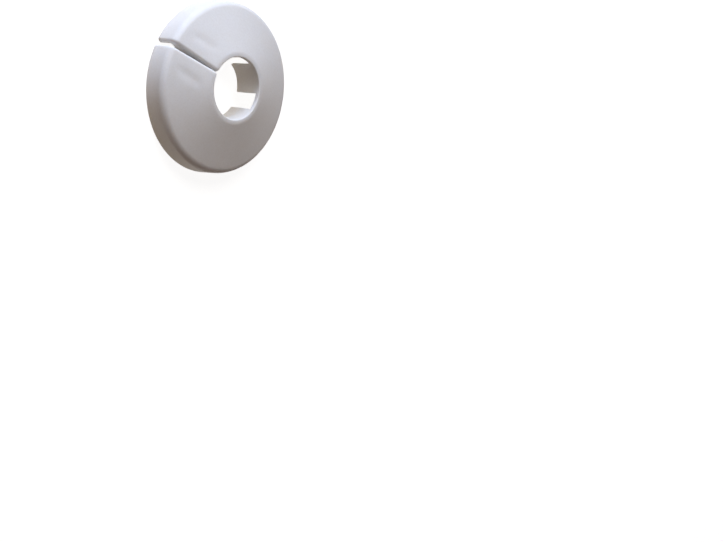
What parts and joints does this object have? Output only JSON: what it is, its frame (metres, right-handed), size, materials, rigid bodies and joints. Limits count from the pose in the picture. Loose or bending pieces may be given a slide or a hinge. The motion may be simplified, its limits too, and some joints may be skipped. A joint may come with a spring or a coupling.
{
  "type": "split pipe escutcheon",
  "caption": "Round white plastic pipe collar with a sloping face, a low rim and a slit to the bore, so that it snaps round a heating pipe and hides the hole round it.",
  "frame": {"origin": "centre of the back rim, in the plane that lies against the wall", "axes": "+Z along the pipe, out of the front face; +X from the axis through the slit"},
  "size_m": [0.043, 0.043, 0.0098],
  "materials": {
    "white_plastic": "satin moulded"
  },
  "bodies": {
    "root": {"escutcheon": "white_plastic"}
  },
  "joints": []
}
